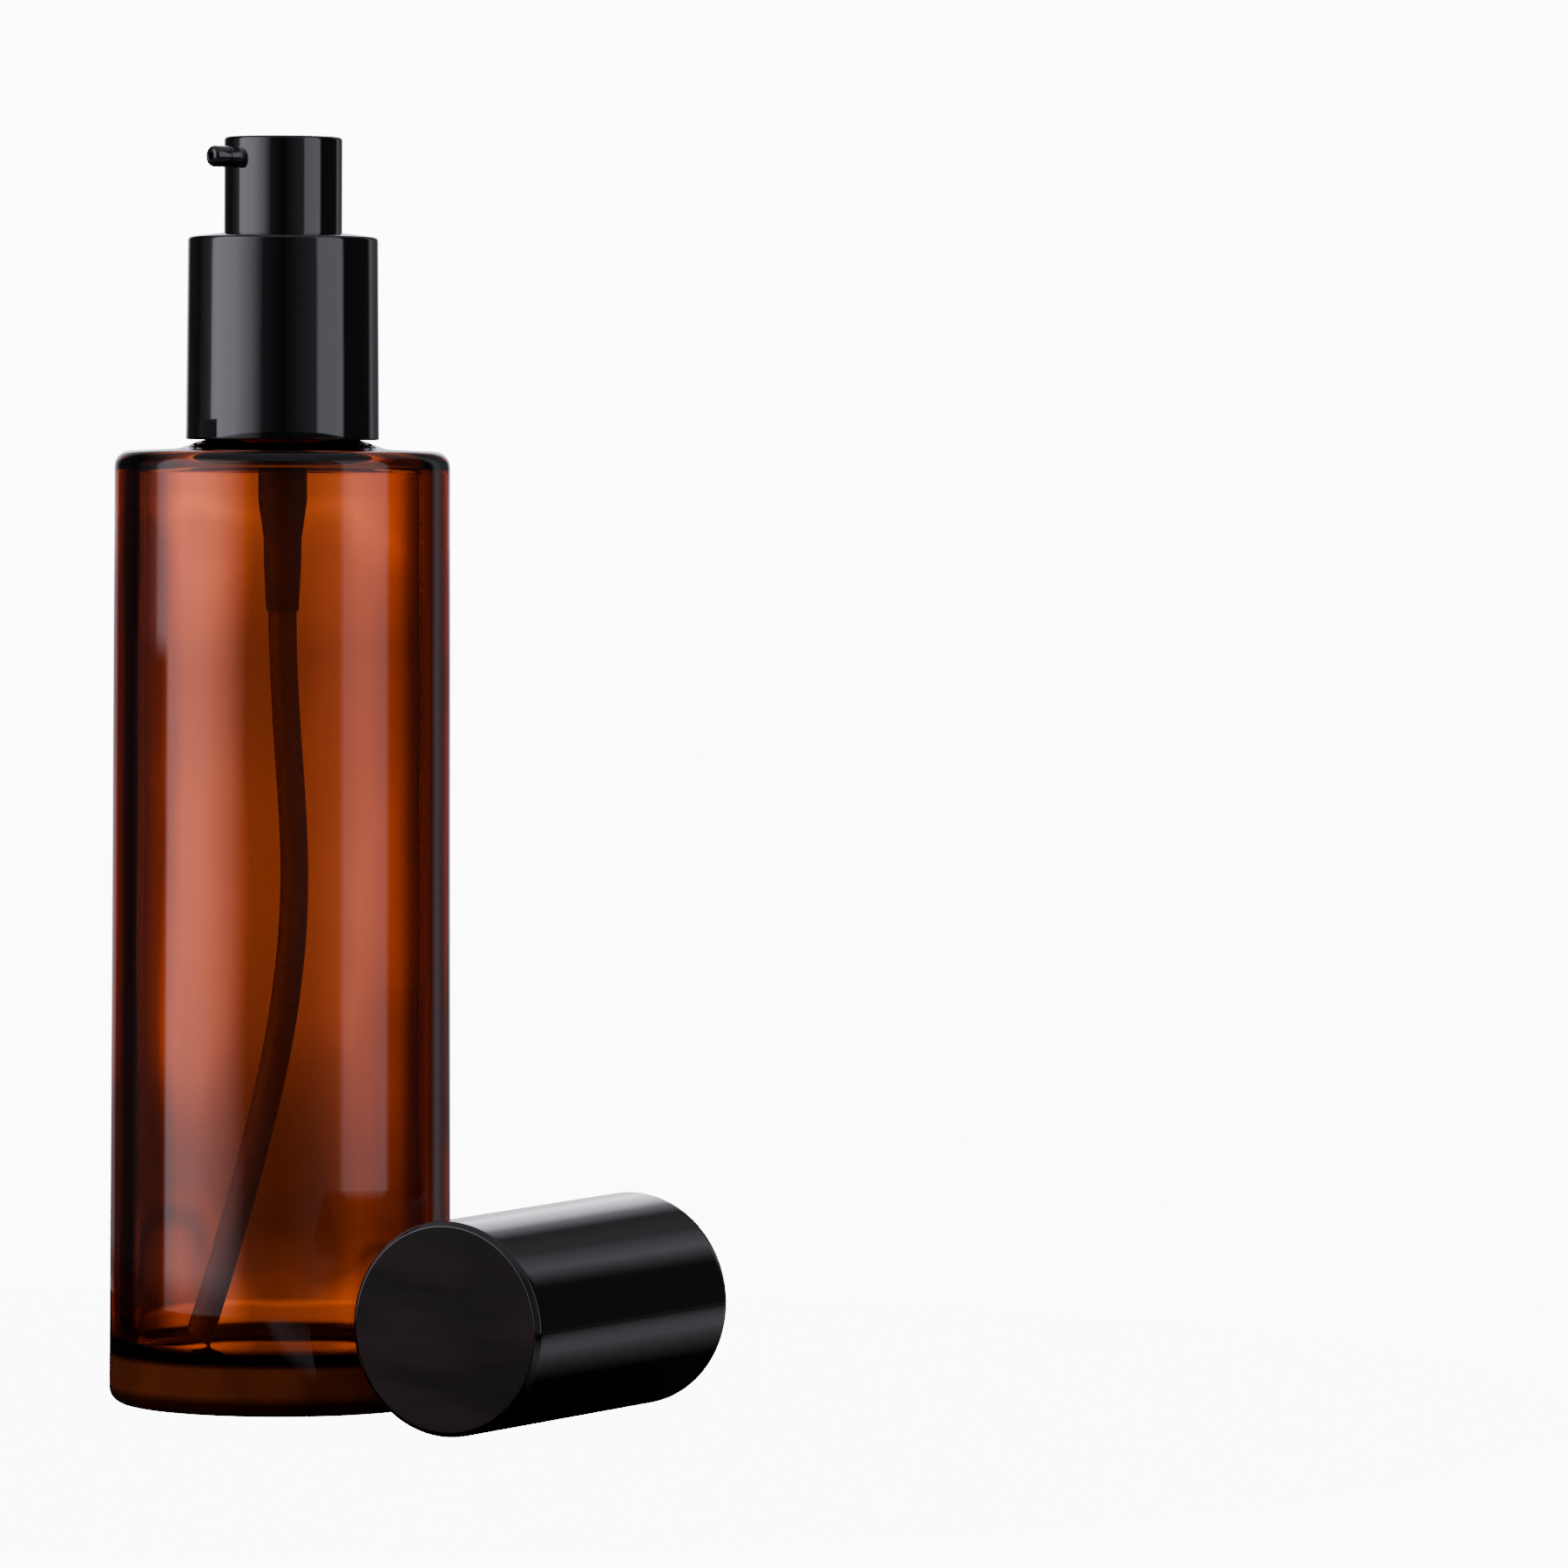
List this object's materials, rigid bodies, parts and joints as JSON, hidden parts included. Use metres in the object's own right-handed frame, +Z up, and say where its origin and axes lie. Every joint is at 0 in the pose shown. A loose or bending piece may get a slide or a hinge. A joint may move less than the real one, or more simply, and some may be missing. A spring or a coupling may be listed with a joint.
{
  "type": "pump oil bottle",
  "caption": "Straight amber glass oil bottle with a screw-on treatment pump, tall gloss collar, side nozzle, dip tube and a push-on overcap lying beside it.",
  "frame": {"origin": "centre of the bottle's base, on the surface it stands on", "axes": "+Z up along the bottle, +X to the right and -Y towards the side where the overcap lies; the nozzle points to -X, 35 degrees towards -Y"},
  "size_m": [0.076, 0.0705, 0.1562],
  "materials": {
    "amber_glass": "clear amber glass, polished",
    "gloss_black": "high gloss",
    "black_plastic": "satin",
    "natural_plastic": "milky, uncoloured",
    "tube_plastic": "milky, half clear",
    "soft_plastic": "soft seal",
    "gasket_rubber": "matt",
    "spring_steel": "drawn wire"
  },
  "bodies": {
    "bottle": {"glass_bottle": "amber_glass"},
    "engine": {"pump_housing": "natural_plastic", "neck_gasket": "gasket_rubber", "stem_guide": "natural_plastic", "stem_gasket": "gasket_rubber", "ball_cage": "natural_plastic", "dip_tube": "tube_plastic", "main_spring": "spring_steel"},
    "closure": {"threaded_closure": "black_plastic", "collar_shell": "gloss_black"},
    "pump_stem": {"stem": "natural_plastic", "stem_post": "natural_plastic", "piston_spring": "spring_steel"},
    "piston": {"piston_seal": "soft_plastic"},
    "button": {"actuator_shell": "gloss_black", "actuator_core": "black_plastic", "nozzle_tip": "gloss_black"},
    "ball": {"inlet_ball": "spring_steel"},
    "cap": {"overcap": "gloss_black"}
  },
  "joints": [
    {"name": "closure_turn", "type": "hinge", "parent": "engine", "child": "closure", "pos_m": [0, 0, 0.1192], "axis": [0, 0, 1], "range_deg": [0, 540.1]},
    {"name": "pump_rise", "type": "slide", "parent": "bottle", "child": "engine", "axis": [0, 0, 1], "range_m": [0, 0.00476]},
    {"name": "pump_press", "type": "slide", "parent": "engine", "child": "pump_stem", "axis": [0, 0, -1], "range_m": [0, 0.0055], "stiffness_N_per_m": 300, "springref_m": -0.0002, "deforming": ["main_spring"]},
    {"name": "piston_slip", "type": "slide", "parent": "pump_stem", "child": "piston", "axis": [0, 0, 1], "range_m": [0, 0.0006], "stiffness_N_per_m": 100, "springref_m": -0.0002, "deforming": ["piston_spring"]},
    {"name": "button_swivel", "type": "hinge", "parent": "pump_stem", "child": "button", "pos_m": [0, 0, 0.15], "axis": [0, 0, 1], "continuous": true},
    {"name": "ball_lift", "type": "slide", "parent": "engine", "child": "ball", "axis": [0, 0, 1], "range_m": [0, 0.0012]},
    {"name": "cap_stand", "type": "hinge", "parent": "bottle", "child": "cap", "pos_m": [0.04383, -0.00321, 0], "axis": [-0.8536, 0.521, 0], "range_deg": [0, 90]}
  ],
  "couplings": [
    {"joint": "closure_turn", "follows": "pump_rise", "rad_per_m": 1979}
  ]
}
